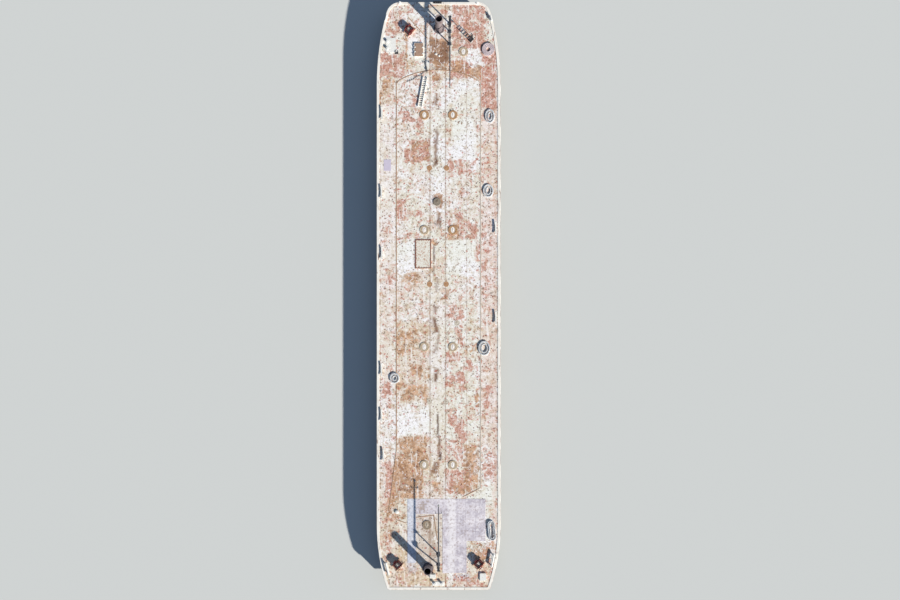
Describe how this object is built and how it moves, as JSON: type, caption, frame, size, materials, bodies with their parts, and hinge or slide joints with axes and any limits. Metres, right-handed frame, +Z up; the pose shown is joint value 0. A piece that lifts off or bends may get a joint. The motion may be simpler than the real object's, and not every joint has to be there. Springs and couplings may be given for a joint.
{
  "type": "river deck barge, 1:2 scale model",
  "caption": "Flat-decked river barge with raked ends, lowering masts, deck winches, kevels, bitts, hatches and open end tubes, as a half-scale model that floats on water.",
  "frame": {"origin": "on the flat bottom, at the centre of the barge's length and beam", "axes": "+Y towards the bow, +X to starboard, +Z up"},
  "size_m": [6.2, 29.4, 2.6103],
  "materials": {
    "hull_black": "worn matt bottom and side paint",
    "deck_paint": "worn pale deck paint with rust and red primer showing",
    "edge_paint": "matt cream paint",
    "fitting_white": "satin white paint",
    "oxide_red": "matt red oxide paint",
    "rusty_steel": "rusted steel",
    "plate_grey": "matt lilac-grey primer",
    "worn_steel": "grey paint worn to steel",
    "rope": "three-strand mooring rope",
    "hose": "matt canvas-covered hose"
  },
  "bodies": {
    "barge": {"hull": "hull_black", "skeg_port": "hull_black", "skeg_starboard": "hull_black", "deck_plating": "deck_paint", "long_hatch": "deck_paint", "gunwale": "edge_paint", "end_tube_bow": "edge_paint", "end_tube_stern": "edge_paint", "bitts_bow": "fitting_white", "bitts_stern": "fitting_white", "bar_bitt_stern_port": "fitting_white", "bar_bitt_stern_starboard": "fitting_white", "bar_bitt_bow_port": "fitting_white", "bar_bitt_bow_starboard": "fitting_white", "corner_post_port": "fitting_white", "corner_post_starboard": "fitting_white", "kevel_port_1": "fitting_white", "kevel_port_2": "fitting_white", "kevel_port_3": "fitting_white", "kevel_port_4": "fitting_white", "kevel_port_5": "fitting_white", "kevel_port_6": "fitting_white", "kevel_starboard_1": "fitting_white", "kevel_starboard_2": "fitting_white", "hatch_coaming": "fitting_white", "locker": "fitting_white", "vent": "fitting_white", "ladder": "fitting_white", "winch_frame_fore": "oxide_red", "winch_frame_aft_port": "oxide_red", "winch_frame_aft_starboard": "oxide_red", "cargo_bar": "rusty_steel", "manhole_1": "rusty_steel", "manhole_2": "rusty_steel", "manhole_3": "rusty_steel", "manhole_4": "rusty_steel", "manhole_5": "rusty_steel", "manhole_6": "rusty_steel", "manhole_7": "rusty_steel", "manhole_8": "rusty_steel", "manhole_9": "rusty_steel", "manhole_10": "rusty_steel", "round_cover": "plate_grey", "stern_plate": "plate_grey", "mast_cradle_bow": "worn_steel", "mast_cradle_stern": "worn_steel", "light_stand": "worn_steel", "rope_coil_1": "rope", "rope_coil_2": "rope", "rope_coil_3": "rope", "rope_coil_4": "rope", "rope_hank": "rope", "hose_coil": "hose"},
    "mast_bow": {"mast_bow": "worn_steel"},
    "mast_stern": {"mast_stern": "worn_steel"},
    "winch_drum_fore": {"winch_drum_fore": "oxide_red"},
    "winch_drum_aft_port": {"winch_drum_aft_port": "oxide_red"},
    "winch_drum_aft_starboard": {"winch_drum_aft_starboard": "oxide_red"},
    "hatch_lid": {"hatch_lid": "rusty_steel"},
    "locker_lid": {"locker_lid": "fitting_white"}
  },
  "joints": [
    {"name": "mast_bow_raise", "type": "hinge", "parent": "barge", "child": "mast_bow", "pos_m": [0.56, 13.6, 2.3003], "axis": [-1, 0, 0], "range_deg": [0, 90]},
    {"name": "mast_stern_raise", "type": "hinge", "parent": "barge", "child": "mast_stern", "pos_m": [0, -13.6, 2.3003], "axis": [1, 0, 0], "range_deg": [0, 90]},
    {"name": "hatch_lid_open", "type": "hinge", "parent": "barge", "child": "hatch_lid", "pos_m": [-0.733, 12.29, 1.5563], "axis": [0, 1, 0], "range_deg": [0, 110]},
    {"name": "locker_lid_open", "type": "hinge", "parent": "barge", "child": "locker_lid", "pos_m": [2.22, -13.858, 1.5603], "axis": [-1, 0, 0], "range_deg": [0, 100]},
    {"name": "winch_fore_spin", "type": "hinge", "parent": "barge", "child": "winch_drum_fore", "pos_m": [-1.455, 13.25, 1.6503], "axis": [-0.7071, 0.7071, 0], "continuous": true},
    {"name": "winch_aft_port_spin", "type": "hinge", "parent": "barge", "child": "winch_drum_aft_port", "pos_m": [-2.045, -13.43, 1.6503], "axis": [-0.7071, 0.7071, 0], "continuous": true},
    {"name": "winch_aft_starboard_spin", "type": "hinge", "parent": "barge", "child": "winch_drum_aft_starboard", "pos_m": [2.005, -13.375, 1.6503], "axis": [-0.7071, 0.7071, 0], "continuous": true}
  ]
}
